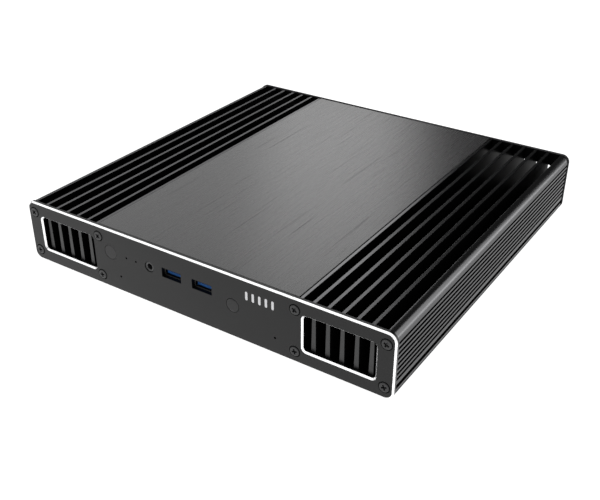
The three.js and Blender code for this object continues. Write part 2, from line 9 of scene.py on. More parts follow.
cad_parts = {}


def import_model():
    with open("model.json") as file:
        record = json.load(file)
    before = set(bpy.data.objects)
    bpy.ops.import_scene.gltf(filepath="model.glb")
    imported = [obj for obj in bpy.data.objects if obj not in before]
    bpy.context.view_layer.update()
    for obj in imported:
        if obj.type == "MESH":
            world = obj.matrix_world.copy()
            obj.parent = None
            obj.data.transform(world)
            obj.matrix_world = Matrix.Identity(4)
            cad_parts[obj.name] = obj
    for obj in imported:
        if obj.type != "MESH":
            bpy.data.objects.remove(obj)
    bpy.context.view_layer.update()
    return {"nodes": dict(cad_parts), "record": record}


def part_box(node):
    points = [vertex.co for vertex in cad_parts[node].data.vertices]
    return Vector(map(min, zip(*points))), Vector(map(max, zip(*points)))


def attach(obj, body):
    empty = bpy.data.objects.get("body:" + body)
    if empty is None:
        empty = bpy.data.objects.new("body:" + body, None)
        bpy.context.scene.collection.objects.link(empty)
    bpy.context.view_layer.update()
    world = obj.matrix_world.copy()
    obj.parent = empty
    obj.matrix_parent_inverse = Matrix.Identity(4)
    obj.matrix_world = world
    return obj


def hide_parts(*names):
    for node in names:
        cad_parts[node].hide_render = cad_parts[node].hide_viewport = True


# The looks of a fanless mini PC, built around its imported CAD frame.
#
# Outlines and heights are in millimetres, and a place matrix turns them into metres in
# the part's frame. Most pieces are stepped solids: an outline, made larger or smaller by an
# offset, stands at a row of heights w, and bands of faces join one height to the next.

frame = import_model()

MM = 0.001
TAU = 2 * math.pi
CASE_BODY = "case"
BUTTON_BODY = "button"


# ---------------------------------------------------------------- places

def place_matrix(origin, u, v, w):
    """Millimetres along u, v and w from origin, which is in metres."""
    matrix = Matrix((u, v, w)).transposed().to_4x4()
    matrix.translation = origin
    return matrix @ Matrix.Scale(MM, 4)


X, Y, Z = Vector((1, 0, 0)), Vector((0, 1, 0)), Vector((0, 0, 1))
front_low, front_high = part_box("front_panel")
rear_low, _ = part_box("rear_panel")
case_low, case_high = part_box("right_heatsink")
MID_Z = (front_low.z + front_high.z) / 2
CASE_FLOOR = case_low.z / MM

# On a panel, w is 0 at its inner face and grows outwards, and u is to the right of someone who
# looks at it. UPWARD and DOWNWARD start at the part's origin. ALONG is for a section seen from the
# front, with v from the case's lower edge.
FRONT = place_matrix((0, front_high.y, MID_Z), X, Z, -Y)
REAR = place_matrix((0, rear_low.y, MID_Z), -X, Z, Y)
UPWARD = place_matrix((0, 0, 0), X, Y, Z)
DOWNWARD = place_matrix((0, 0, 0), X, -Y, -Z)
ALONG = place_matrix((0, 0, case_low.z), X, Z, -Y)


def on_face(node, face):
    """Middle and size of a node in the u and v of a place, in millimetres."""
    low, high = (face.inverted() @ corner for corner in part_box(node))
    middle = (low + high) / 2
    return middle.x, middle.y, abs(high.x - low.x), abs(high.y - low.y)


def outer_end(node, face):
    """How far a node reaches along the w of a place, in millimetres."""
    return max((face.inverted() @ corner).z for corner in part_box(node))


def box_mm(node):
    """Low and high corner of a node in the part's frame, in millimetres."""
    return [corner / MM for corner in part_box(node)]


# ---------------------------------------------------------------- sizes, in millimetres

PANEL_SCREWS = range(1, 9)
COVER_SCREWS = range(1, 5)
FEET = range(1, 5)
PAIR = (1, 2)

PANEL_WIDTH = (front_high.x - front_low.x) / MM
PANEL_HEIGHT = (front_high.z - front_low.z) / MM
PANEL_THICKNESS = (front_high.y - front_low.y) / MM
CORNER = 5.0
CHAMFER = 0.85
EDGE = 0.1

VENT_U, VENT_WIDTH, VENT_HEIGHT, VENT_CORNER = 92.55, 41.7, 21.4, 2.2
SINK_RADIUS, SINK_DEPTH, SCREW_HOLE = 3.3, 1.25, 1.75
HEAD_RADIUS, SHANK_RADIUS, SCREW_LENGTH = 2.8, 1.5, 9.0
BASE_HEAD_RADIUS, BASE_SHANK_END = 2.85, 7.0
RECESS_REACH, RECESS_HALF_WIDTH, RECESS_DEPTH = 1.5, 0.42, 1.0
TAP_RADIUS, TAP_DEPTH = 1.65, 10.0

IR_HOLE, LIGHT_HOLE, MIC_HOLE, JACK_HOLE, BUTTON_HOLE = 4.5, 0.6, 0.65, 3.2, 4.15
USB_CUT_WIDTH, USB_CUT_HEIGHT = 13.4, 5.8
USB_MOUTH_WIDTH, USB_MOUTH_HEIGHT = 12.5, 5.12
TONGUE_WIDTH, TONGUE_THICKNESS, TONGUE_OFFSET = 11.1, 1.84, 0.92
BOARD_FACE = -13.5
PORT_DEPTH = 0.4
PORT_CLEARANCE = 0.3
INLET_HOLE = 5.2

BASE_THICKNESS = 2.0
POST_X, POST_RADIUS, POST_FROM_FRONT, POST_FROM_REAR = 46.5, 2.75, 5, 25
TAB_WIDTH, TAB_THICKNESS, TAB_HEIGHT = 6, 1.2, 12
WITNESS_RADIUS, WITNESS_DEPTH = 1.0, 0.03
BAR_COUNT, BAR_FIRST, BAR_PITCH, BAR_ROW, BAR_WIDTH, BAR_HEIGHT = 5, 37.2, 4.1, 10.1, 1.5, 5.2


# ---------------------------------------------------------------- outlines

def circle(u, v, radius=0.0, steps=48):
    """With no radius of its own, each offset is a radius, which suits turned shapes."""
    def outline(offset=0.0):
        r = radius + offset
        angles = [TAU * i / steps for i in range(steps)]
        return [(u + r * math.cos(a), v + r * math.sin(a)) for a in angles]
    return outline


def rounded_rectangle(u, v, width, height, radius, steps=6):
    def outline(offset=0.0):
        r = max(radius + offset, 0.02)
        half_u, half_v = width / 2 + offset - r, height / 2 + offset - r
        points = []
        for quarter, (side_u, side_v) in enumerate(((1, 1), (-1, 1), (-1, -1), (1, -1))):
            for i in range(steps + 1):
                angle = math.pi / 2 * (quarter + i / steps)
                across, along = r * math.cos(angle), r * math.sin(angle)
                points.append((u + side_u * half_u + across, v + side_v * half_v + along))
        return points
    return outline


def polygon(points):
    """An anticlockwise outline whose sides move outwards by the offset."""
    def outline(offset=0.0):
        moved = []
        for i, point in enumerate(points):
            before = (Vector(point) - Vector(points[i - 1])).normalized()
            after = (Vector(points[(i + 1) % len(points)]) - Vector(point)).normalized()
            normal_before, normal_after = Vector((before.y, -before.x)), Vector((after.y, -after.x))
            share = max(1 + normal_before.dot(normal_after), 0.2)
            moved.append(tuple(Vector(point) + (normal_before + normal_after) * (offset / share)))
        return moved
    return outline


def filleted(corners, arc_step=14.0):
    """Points of a polygon whose corners (u, v, radius) are rounded."""
    points = []
    for i, (u, v, radius) in enumerate(corners):
        corner = Vector((u, v))
        to_before = (Vector(corners[i - 1][:2]) - corner).normalized()
        to_after = (Vector(corners[(i + 1) % len(corners)][:2]) - corner).normalized()
        opening = math.acos(max(-1.0, min(1.0, to_before.dot(to_after))))
        turn = math.pi - opening
        if radius == 0 or turn < 0.02:
            points.append((u, v))
            continue
        reach = radius / math.tan(opening / 2)
        centre = corner + (to_before + to_after).normalized() * (radius / math.sin(opening / 2))
        start, end = corner + to_before * reach - centre, corner + to_after * reach - centre
        count = max(2, math.ceil(math.degrees(turn) / arc_step))
        for k in range(count + 1):
            share = k / count
            arm = (start * math.sin((1 - share) * turn) + end * math.sin(share * turn)) / math.sin(turn)
            points.append(tuple(centre + arm))
    return points


def cross_outline(a, b):
    """A cross whose arms reach a from its middle and are 2 b wide."""
    return polygon([
        (b, a), (-b, a), (-b, b), (-a, b), (-a, -b), (-b, -b),
        (-b, -a), (b, -a), (b, -b), (a, -b), (a, b), (b, b),
    ])


# ---------------------------------------------------------------- stepped solids

SHARP_ANGLE = math.radians(32)


class Solid:
    """One piece in the making. Bands and caps are added to it until its shells are closed."""

    def __init__(self):
        self.faces = bmesh.new()

    def wall(self, outline, steps, inks=None, ink=0):
        """Bands between (offset, w) steps. Returns the first and last ring.

        ink is the material's number in the mesh, and inks gives single bands another one.
        """
        inks = inks or {}
        rings = [[self.faces.verts.new((u, v, w)) for u, v in outline(offset)] for offset, w in steps]
        for band, (low, high) in enumerate(zip(rings, rings[1:])):
            for i in range(len(low)):
                j = (i + 1) % len(low)
                face = self.faces.faces.new((low[i], low[j], high[j], high[i]))
                face.material_index = inks.get(band, ink)
        return rings[0], rings[-1]

    def cap(self, ring, holes=(), ink=0):
        """A flat face inside a ring, around the rings of its holes."""
        loops = [ring, *holes]
        verts = [vert for loop in loops for vert in loop]
        for triangle in tessellate_polygon([[vert.co for vert in loop] for loop in loops]):
            face = self.faces.faces.new([verts[i] for i in triangle])
            face.material_index = ink

    def prism(self, outline, steps, inks=None, ink=0):
        """A closed shell on one outline."""
        low, high = self.wall(outline, steps, inks, ink)
        self.cap(low, ink=ink)
        self.cap(high, ink=ink)

    def mesh(self, name, materials, matrix=None):
        """The finished mesh. The first material is ink 0, the next is ink 1, and so on."""
        bmesh.ops.recalc_face_normals(self.faces, faces=self.faces.faces[:])
        if matrix is not None:
            self.faces.transform(matrix)
        mesh = bpy.data.meshes.new(name)
        self.faces.to_mesh(mesh)
        self.faces.free()
        mesh.polygons.foreach_set("use_smooth", [True] * len(mesh.polygons))
        mesh.set_sharp_from_angle(angle=SHARP_ANGLE)
        for material in materials:
            mesh.materials.append(material)
        return mesh


def add_piece(name, mesh, nodes=(), body=CASE_BODY, matrix=None):
    """A piece that rides on a body and takes the place of the CAD nodes named."""
    piece = bpy.data.objects.new(name, mesh)
    bpy.context.scene.collection.objects.link(piece)
    flat = piece.modifiers.new("flat faces stay flat", "WEIGHTED_NORMAL")
    flat.keep_sharp = True
    flat.weight = 100
    if matrix is not None:
        piece.matrix_world = matrix
    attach(piece, body)
    if nodes:
        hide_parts(*nodes)
    return piece


# ---------------------------------------------------------------- materials

# A Mix node has a socket A, B and Result for each type of data; these are its colour ones.
MIX_DARK, MIX_BRIGHT, MIX_COLOR = 6, 7, 2


class Shader:
    """A Principled material whose colour, roughness and bump are varied by noise in object space."""

    def __init__(self, name, color, roughness, metallic=0.0, specular=0.5):
        self.material = bpy.data.materials.new(name)
        self.material.use_nodes = True
        self.tree = self.material.node_tree
        self.shader = self.tree.nodes["Principled BSDF"]
        self.color, self.roughness = color, roughness
        self.normal = None
        self.set("Base Color", (*color, 1))
        self.set("Roughness", roughness)
        self.set("Metallic", metallic)
        self.set("Specular IOR Level", specular)
        self.set("IOR", 1.5)

    def set(self, socket, value):
        self.shader.inputs[socket].default_value = value

    def node(self, kind, **values):
        made = self.tree.nodes.new(kind)
        for key, value in values.items():
            setattr(made, key, value)
        return made

    def link(self, start, end):
        self.tree.links.new(start, end)

    def noise(self, scale, detail=3.0, rough=0.5):
        """A noise value. scale is in waves per millimetre along X, Y and Z."""
        place = self.node("ShaderNodeTexCoord")
        stretch = self.node("ShaderNodeMapping")
        stretch.inputs["Scale"].default_value = [s / MM for s in scale]
        noise = self.node("ShaderNodeTexNoise")
        noise.inputs["Scale"].default_value = 1.0
        noise.inputs["Detail"].default_value = detail
        noise.inputs["Roughness"].default_value = rough
        self.link(place.outputs["Object"], stretch.inputs["Vector"])
        self.link(stretch.outputs["Vector"], noise.inputs["Vector"])
        return noise.outputs["Fac"]

    def spread(self, value, low, high, start=0.3, end=0.7):
        """Maps a noise value from start..end to low..high."""
        ramp = self.node("ShaderNodeMapRange")
        for socket, number in (("From Min", start), ("From Max", end), ("To Min", low), ("To Max", high)):
            ramp.inputs[socket].default_value = number
        self.link(value, ramp.inputs["Value"])
        return ramp.outputs["Result"]

    def vary_color(self, value, depth, start=0.3, end=0.7):
        """The colour goes from (1 - depth) to (1 + depth) times its own brightness."""
        mix = self.node("ShaderNodeMix", data_type="RGBA")
        mix.inputs[MIX_DARK].default_value = (*[c * (1 - depth) for c in self.color], 1)
        mix.inputs[MIX_BRIGHT].default_value = (*[min(c * (1 + depth), 1) for c in self.color], 1)
        self.link(self.spread(value, 0, 1, start, end), mix.inputs["Factor"])
        self.link(mix.outputs[MIX_COLOR], self.shader.inputs["Base Color"])

    def vary_roughness(self, value, depth):
        low, high = max(self.roughness - depth, 0.02), min(self.roughness + depth, 1)
        self.link(self.spread(value, low, high), self.shader.inputs["Roughness"])

    def dull_strokes(self, value, start, end, rise):
        """Adds to the roughness that vary_roughness made, where a noise value is above start."""
        total = self.node("ShaderNodeMath", operation="ADD")
        self.link(self.shader.inputs["Roughness"].links[0].from_socket, total.inputs[0])
        self.link(self.spread(value, 0, rise, start, end), total.inputs[1])
        self.link(total.outputs[0], self.shader.inputs["Roughness"])

    def bump(self, value, height, strength=1.0):
        """Height of the relief in millimetres."""
        bump = self.node("ShaderNodeBump")
        bump.inputs["Distance"].default_value = height * MM
        bump.inputs["Strength"].default_value = strength
        self.link(value, bump.inputs["Height"])
        if self.normal:
            self.link(self.normal, bump.inputs["Normal"])
        self.normal = bump.outputs["Normal"]
        self.link(self.normal, self.shader.inputs["Normal"])


def anodised_black():
    """Bare extrusion, dyed black: faint die lines that run front to rear, and a fine etched grain."""
    s = Shader("anodised_black", (0.1, 0.1, 0.102), 0.22, metallic=1.0)
    s.set("Specular Tint", (0.6, 0.6, 0.6, 1))
    s.vary_roughness(s.noise((0.02, 0.004, 0.02)), 0.04)
    s.bump(s.noise((2.2, 0.004, 2.2), 2), 0.0008)
    return s.material


def shaded_channel_black():
    """The extrusion's inner faces, its grooves and the fins' rounded edges: near black with almost no
    gloss, painted shade for the shadow they lie in between the fins and inside the grooves.
    """
    s = Shader("shaded_channel_black", (0.0015, 0.0015, 0.0016), 0.32, specular=0.01)
    s.vary_roughness(s.noise((0.02, 0.004, 0.02)), 0.04)
    s.bump(s.noise((2.2, 0.004, 2.2), 2), 0.001)
    return s.material


def sawn_black():
    """The extrusion's ends, cut before it was dyed."""
    s = Shader("sawn_black", (0.002, 0.002, 0.0021), 0.4)
    s.vary_roughness(s.noise((0.05, 0.05, 2)), 0.06)
    s.bump(s.noise((0.1, 0.1, 3), 2), 0.004)
    return s.material


def dull_and_shaded_black():
    """Matt black without gloss. On the extrusions' lower rounding it is painted shade, which keeps the
    rounding from reflecting the bright floor; the rear panel's edges have it too.
    """
    s = Shader("dull_and_shaded_black", (0.03, 0.03, 0.031), 0.6, specular=0.0)
    s.vary_color(s.noise((0.02, 0.004, 0.02)), 0.2)
    return s.material


def brushed_black():
    """Brushed from front to rear before it was dyed, with a few deeper strokes that stay dull."""
    s = Shader("brushed_black", (0.012, 0.012, 0.0125), 0.27)
    s.vary_color(s.noise((1.4, 0.03, 1.4), 4, 0.7), 0.4)
    s.vary_roughness(s.noise((1.6, 0.05, 1.6), 4, 0.7), 0.018)
    s.dull_strokes(s.noise((1.1, 0.011, 1.1), 1), 0.69, 0.74, 0.14)
    return s.material


def panel_black(name="panel_black", color=0.0015):
    """Finely brushed across, then dyed black."""
    s = Shader(name, (color, color, color * 1.03), 0.35, specular=0.235)
    grain = s.noise((0.03, 3, 3), 4, 0.6)
    s.vary_color(grain, 0.25)
    s.vary_roughness(s.noise((0.02, 0.05, 0.05)), 0.04)
    s.bump(grain, 0.004)
    return s.material


def button_black():
    """The button's cap has the panel's finish, a shade paler."""
    return panel_black("button_black", 0.009)


def bright_edge():
    """Bare metal left by the cutter after dyeing."""
    s = Shader("bright_edge", (0.93, 0.93, 0.935), 0.22, metallic=0.7)
    s.vary_roughness(s.noise((0.4, 0.4, 0.4)), 0.05)
    return s.material


def screw_black():
    s = Shader("screw_black", (0.012, 0.012, 0.0125), 0.34, metallic=0.3)
    s.vary_color(s.noise((0.8, 0.8, 0.8)), 0.35)
    s.vary_roughness(s.noise((0.5, 0.5, 0.5)), 0.08)
    s.bump(s.noise((3, 3, 3), 3), 0.006)
    return s.material


def foot_rubber():
    s = Shader("foot_rubber", (0.012, 0.012, 0.012), 0.8, specular=0.3)
    s.vary_color(s.noise((0.3, 0.3, 0.3)), 0.3)
    s.bump(s.noise((5, 5, 5), 3), 0.02)
    return s.material


def tinted_plastic():
    s = Shader("tinted_plastic", (0.001, 0.0008, 0.0012), 0.16, specular=0.28)
    s.vary_roughness(s.noise((0.3, 0.3, 0.3)), 0.03)
    s.bump(s.noise((0.5, 0.5, 0.5), 1), 0.001)
    return s.material


def clear_plastic():
    s = Shader("clear_plastic", (0.012, 0.0125, 0.013), 0.2, specular=0.3)
    s.vary_roughness(s.noise((1.5, 1.5, 1.5)), 0.06)
    return s.material


def black_plastic():
    s = Shader("black_plastic", (0.012, 0.012, 0.0125), 0.45)
    s.vary_roughness(s.noise((0.6, 0.6, 0.6)), 0.06)
    s.bump(s.noise((6, 6, 6), 2), 0.006)
    return s.material


def jack_ring():
    """The ring around the jack's bore, a little paler than its housing."""
    s = Shader("jack_ring", (0.02, 0.02, 0.021), 0.4)
    s.vary_roughness(s.noise((0.6, 0.6, 0.6)), 0.06)
    s.bump(s.noise((6, 6, 6), 2), 0.004)
    return s.material


def cable_jacket():
    s = Shader("cable_jacket", (0.014, 0.014, 0.015), 0.6)
    s.vary_color(s.noise((0.5, 0.1, 0.5)), 0.3)
    s.bump(s.noise((3, 3, 3), 2), 0.01)
    return s.material


def usb_blue():
    s = Shader("usb_blue", (0.002, 0.055, 0.2), 0.4, specular=0.3)
    s.vary_color(s.noise((0.5, 0.5, 0.5)), 0.08)
    s.vary_roughness(s.noise((1, 1, 1)), 0.05)
    s.bump(s.noise((6, 6, 6), 2), 0.003)
    return s.material


def nickel_shell():
    s = Shader("nickel_shell", (0.16, 0.16, 0.158), 0.42, metallic=1.0)
    s.vary_color(s.noise((0.3, 0.3, 0.3)), 0.12)
    s.vary_roughness(s.noise((0.4, 2.5, 2.5)), 0.08)
    s.bump(s.noise((0.4, 5, 5), 2), 0.002)
    return s.material


def shaded_shell():
    """Plated steel of the front sockets, darker than the rear sockets' steel: painted shade, as these
    shells sit in shadow just behind the front panel.
    """
    s = Shader("shaded_shell", (0.045, 0.045, 0.045), 0.5, metallic=1.0)
    s.vary_color(s.noise((0.3, 0.3, 0.3)), 0.2)
    s.vary_roughness(s.noise((0.4, 2.5, 2.5)), 0.06)
    return s.material


def contact_gold():
    s = Shader("contact_gold", (0.83, 0.58, 0.22), 0.25, metallic=1.0)
    s.vary_color(s.noise((1, 1, 1)), 0.1)
    s.vary_roughness(s.noise((2, 2, 2)), 0.06)
    return s.material


def circuit_board():
    """Green mask over copper: broad copper areas, and fine traces between them."""
    s = Shader("circuit_board", (0.006, 0.05, 0.02), 0.35)
    s.vary_color(s.noise((0.25, 0.25, 0.25), 1), 0.45, 0.47, 0.53)
    s.vary_roughness(s.noise((0.8, 0.8, 0.8)), 0.06)
    s.bump(s.noise((0.5, 0.5, 0.5), 1), 0.03, 0.6)
    return s.material


def chip():
    s = Shader("chip", (0.05, 0.052, 0.055), 0.2, metallic=0.4)
    s.vary_color(s.noise((0.2, 0.2, 0.2)), 0.2)
    s.vary_roughness(s.noise((0.5, 0.5, 0.5)), 0.04)
    return s.material


def plain_aluminium():
    """Milled: shallow cutter lines along X."""
    s = Shader("plain_aluminium", (0.6, 0.6, 0.61), 0.34, metallic=1.0)
    s.vary_roughness(s.noise((0.05, 1.2, 0.6), 3), 0.08)
    s.bump(s.noise((0.05, 2, 1), 2), 0.004)
    return s.material


def printed_mark():
    s = Shader("printed_mark", (0.5, 0.5, 0.51), 0.5)
    s.vary_color(s.noise((4, 4, 4)), 0.08)
    return s.material


MATERIALS = {make.__name__: make() for make in (
    anodised_black, shaded_channel_black, sawn_black, dull_and_shaded_black, brushed_black, panel_black, button_black,
    bright_edge, screw_black, foot_rubber, tinted_plastic, clear_plastic, black_plastic, jack_ring,
    cable_jacket, usb_blue, nickel_shell, shaded_shell, contact_gold, circuit_board, chip,
    plain_aluminium, printed_mark,
)}


def finishes(*names):
    return [MATERIALS[name] for name in names]


# ---------------------------------------------------------------- side extrusions

FIN_COUNT, FIN_FIRST, FIN_PITCH, FIN_TOP, FIN_ROOT = 5, 76.7, 8.3, 2.0, 3.0
FIN_SLOPE = 0.1
WEB_TOP = 4.5
WALL_FOOT = 0.9
REBATE = 68.5
SILL_INNER, SILL_LOW, SILL_HIGH = 60.0, 2.15, 9.9
RAIL_INNER, RAIL_LOW, RAIL_HIGH = 59.5, 29.2, 35.15
INNER_WALL_INNER, INNER_WALL_OUTER = 67.4, 70.4
BOSS_X, BOSS_RADIUS = 118.8, 3.2
WALL_INNER, WALL_OUTER = 118.0, case_high.x / MM
CASE_HEIGHT = (case_high.z - case_low.z) / MM
RIB_COUNT, RIB_TOP, RIB_PITCH, RIB_MOUTH, RIB_FLOOR, RIB_DEPTH = 8, 32.6, 3.07, 1.7, 1.3, 1.2
SKIRT_LOW, SKIRT_HIGH = 5.3, 7.8
LOW_CORNER = 4.0
SCREW_U = (67.0, BOSS_X)
SCREW_V = abs(on_face("front_screw_1", FRONT)[1])


def arc(u, v, radius, start, end, steps):
    """Corners without rounding along an arc, in degrees."""
    angles = [math.radians(start + (end - start) * i / steps) for i in range(steps + 1)]
    return [(u + radius * math.cos(a), v + radius * math.sin(a), 0) for a in angles]


def groove(low, high, lip=0.15):
    """Corners of a groove in the outer wall, which narrows towards its floor."""
    draft = (RIB_MOUTH - RIB_FLOOR) / 2
    floor = WALL_OUTER - RIB_DEPTH
    return [
        (WALL_OUTER, high, lip), (floor, high - draft, 0.2),
        (floor, low + draft, 0.2), (WALL_OUTER, low, lip),
    ]


def extrusion_section():
    """The right extrusion's section, clockwise as seen from the front."""
    middle = CASE_HEIGHT / 2
    corners = [
        (REBATE, 0, 0.2), (REBATE, SILL_LOW, 0.1),
        (SILL_INNER, SILL_LOW, 0.2), (SILL_INNER, SILL_HIGH, 0.3),
        (INNER_WALL_INNER, SILL_HIGH, 0.6), (INNER_WALL_INNER, RAIL_LOW, 0.6),
        (RAIL_INNER, RAIL_LOW, 0.3), (RAIL_INNER, RAIL_HIGH, 0.2),
        (REBATE, RAIL_HIGH, 0.1), (REBATE, CASE_HEIGHT, 0.15),
        (INNER_WALL_OUTER, CASE_HEIGHT, 0.2), (INNER_WALL_OUTER, WEB_TOP, WALL_FOOT),
    ]
    for i in range(FIN_COUNT):
        x = FIN_FIRST + i * FIN_PITCH
        corners += [
            (x - FIN_ROOT / 2, WEB_TOP, WALL_FOOT), (x - FIN_TOP / 2, CASE_HEIGHT, 0.15),
            (x + FIN_TOP / 2, CASE_HEIGHT - FIN_SLOPE, 0.15), (x + FIN_ROOT / 2, WEB_TOP, WALL_FOOT),
        ]
    lean = math.degrees(math.acos((WALL_INNER - BOSS_X) / BOSS_RADIUS))
    footing = 180 + math.degrees(math.asin((middle - SCREW_V - WEB_TOP) / BOSS_RADIUS))
    corners += arc(BOSS_X, middle - SCREW_V, BOSS_RADIUS, footing, lean, 10)
    corners += arc(BOSS_X, middle + SCREW_V, BOSS_RADIUS, 360 - lean, lean, 14)
    corners += [(WALL_INNER, CASE_HEIGHT, 0.2), (WALL_OUTER, CASE_HEIGHT, CORNER)]
    for i in range(RIB_COUNT):
        rib = RIB_TOP - i * RIB_PITCH
        # The highest groove ends so close to the shoulder's arc that its lip is all but sharp.
        corners += groove(rib - RIB_MOUTH / 2, rib + RIB_MOUTH / 2, 0.15 if i else 0.04)
    corners += groove(SKIRT_LOW, SKIRT_HIGH)
    corners += [(WALL_OUTER, 0, LOW_CORNER)]
    return filleted(corners, 9.0)


EXTRUSION_FINISHES = ("anodised_black", "shaded_channel_black", "sawn_black", "dull_and_shaded_black")
ANODISED, CHANNEL_SHADE, SAWN, LOW_SHADE = range(len(EXTRUSION_FINISHES))


def extrusion_finish(place, normal):
    """Which of the four finishes a face of an extrusion has, as its ink."""
    x, z = abs(place.x) / MM, place.z / MM - CASE_FLOOR
    groove_in_shade = z < CASE_HEIGHT - CORNER and x < WALL_OUTER - 0.02
    flat_top = z >= CASE_HEIGHT - 0.3 and normal.z >= 0.95
    channel_in_shade = x < WALL_INNER + 0.1 and not flat_top
    if abs(normal.y) > 0.9:
        return SAWN
    # Painted shade: the lower rounding takes a matt black without gloss, so it doesn't reflect the bright
    # floor, as if the floor beside the case lay in shadow.
    if z < LOW_CORNER:
        return LOW_SHADE
    # Painted shade: grooves, the faces between the fins and the fins' rounded edges take a near-black
    # finish with almost no gloss, for the shadow they lie in.
    return CHANNEL_SHADE if groove_in_shade or channel_in_shade else ANODISED


def heatsink(side):
    """The extrusion at side -1, the left, or 1, the right, with tapped holes in both its ends."""
    name = "left_heatsink" if side < 0 else "right_heatsink"
    low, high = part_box(name)
    half = (high.y - low.y) / 2 / MM
    section = [(side * x, z) for x, z in extrusion_section()]
    outline = polygon(section if side < 0 else section[::-1])
    solid = Solid()
    ends = solid.wall(outline, [(-EDGE, -half), (0, EDGE - half), (0, half - EDGE), (-EDGE, half)])
    middle = CASE_HEIGHT / 2
    sink = 0.2
    for end, ring in zip((-1, 1), ends):
        mouths = []
        for x in SCREW_U:
            for z in (middle - SCREW_V, middle + SCREW_V):
                mouth, floor = solid.wall(
                    circle(side * x, z, TAP_RADIUS, 24),
                    [(sink, end * half), (0, end * (half - sink)), (0, end * (half - TAP_DEPTH))],
                )
                solid.cap(floor)
                mouths.append(mouth)
        solid.cap(ring, mouths)
    mesh = solid.mesh(name, finishes(*EXTRUSION_FINISHES), ALONG)
    for face in mesh.polygons:
        face.material_index = extrusion_finish(face.center, face.normal)
    add_piece(name + "_body", mesh, [name])


# ---------------------------------------------------------------- covers

def top_cover():
    low, high = box_mm("top_cover")
    outline = rounded_rectangle(0, 0, high.x - low.x, high.y - low.y, 0.3, 2)
    solid = Solid()
    bottom, top = solid.wall(outline, [
        (-0.2, low.z), (0, low.z + 0.2), (0, high.z - 0.25), (-0.08, high.z - 0.08), (-0.25, high.z),
    ])
    # A faint mark shows on the plate over each screw that holds it from below.
    marks = []
    dip = high.z - WITNESS_DEPTH
    for i in COVER_SCREWS:
        u, v, _, _ = on_face(f"cover_screw_{i}", UPWARD)
        rim, floor = solid.wall(
            circle(u, v, WITNESS_RADIUS, 24), [(0, high.z), (-0.15, dip), (-0.5, dip), (-0.7, high.z)],
        )
        solid.cap(floor)
        marks.append(rim)
    solid.cap(top, marks)
    solid.cap(bottom)
    mesh = solid.mesh("top_cover", finishes("brushed_black"), UPWARD)
    add_piece("top_cover_plate", mesh, ["top_cover"])


def base_cover():
    low, high = box_mm("base_cover")
    outer, inner = -low.z, -(low.z + BASE_THICKNESS)
    solid = Solid()
    inside, outside = solid.wall(
        rounded_rectangle(0, 0, high.x - low.x, high.y - low.y, 0.3, 2),
        [(-0.2, inner), (0, inner + 0.2), (0, outer - 0.2), (-0.2, outer)],
    )
    insides, outsides = [], []
    for i in COVER_SCREWS:
        u, v, _, _ = on_face(f"base_screw_{i}", DOWNWARD)
        hole, mouth = solid.wall(
            circle(u, v, TAP_RADIUS, 32),
            [(0, inner), (0, outer - 1.5), (1.6, outer - 0.1), (1.75, outer)],
        )
        insides.append(hole)
        outsides.append(mouth)
    solid.cap(inside, insides)
    solid.cap(outside, outsides)
    mesh = solid.mesh("base_plate", finishes("anodised_black"), DOWNWARD)
    add_piece("base_plate", mesh, ["base_cover"])


def base_posts():
    """Pressed-in posts of the mainboard, and the two tabs that hold the front board."""
    board_low, board_high = box_mm("mainboard")
    _, front_board_high = box_mm("front_io_board")
    floor = CASE_FLOOR + BASE_THICKNESS
    tab_y = front_board_high.y + 0.7
    solid = Solid()
    for side in (-1, 1):
        for y in (board_low.y + POST_FROM_FRONT, board_high.y - POST_FROM_REAR):
            solid.prism(circle(side * POST_X, y, POST_RADIUS, 6), [
                (-0.3, floor), (0, floor + 0.3), (0, board_low.z - 0.5), (-0.4, board_low.z - 0.1),
            ])
        tab = rounded_rectangle(side * POST_X, tab_y, TAB_WIDTH, TAB_THICKNESS, 0.3, 3)
        solid.prism(tab, [(0, floor), (0, floor + TAB_HEIGHT - 0.5), (-0.2, floor + TAB_HEIGHT)])
    mesh = solid.mesh("base_posts", finishes("nickel_shell"), UPWARD)
    add_piece("base_posts", mesh)


# ---------------------------------------------------------------- panels

PANEL_FINISHES = ("panel_black", "bright_edge", "dull_and_shaded_black")
BRIGHT_INK, DULL_INK = 1, 2


def simple_hole(outline):
    """Steps of a plain hole through a panel, with its front and rear edges broken."""
    top = PANEL_THICKNESS
    return outline, [(EDGE, 0), (0, EDGE), (0, top - EDGE), (EDGE, top)], {}


def slanted_edge(sign):
    """Steps over a panel's thickness that end in a bright slant. A hole has sign 1, a rim -1."""
    top = PANEL_THICKNESS
    steps = [(sign * EDGE, 0), (0, EDGE), (0, top - CHAMFER), (sign * CHAMFER, top)]
    return steps, {2: BRIGHT_INK}


def plain_edge(sign):
    """The same without a slant: all of the edge is dull, and only its corners are broken."""
    top = PANEL_THICKNESS
    steps = [(sign * EDGE, 0), (0, EDGE), (0, top - 2 * EDGE), (sign * 2 * EDGE, top)]
    return steps, {band: DULL_INK for band in range(3)}


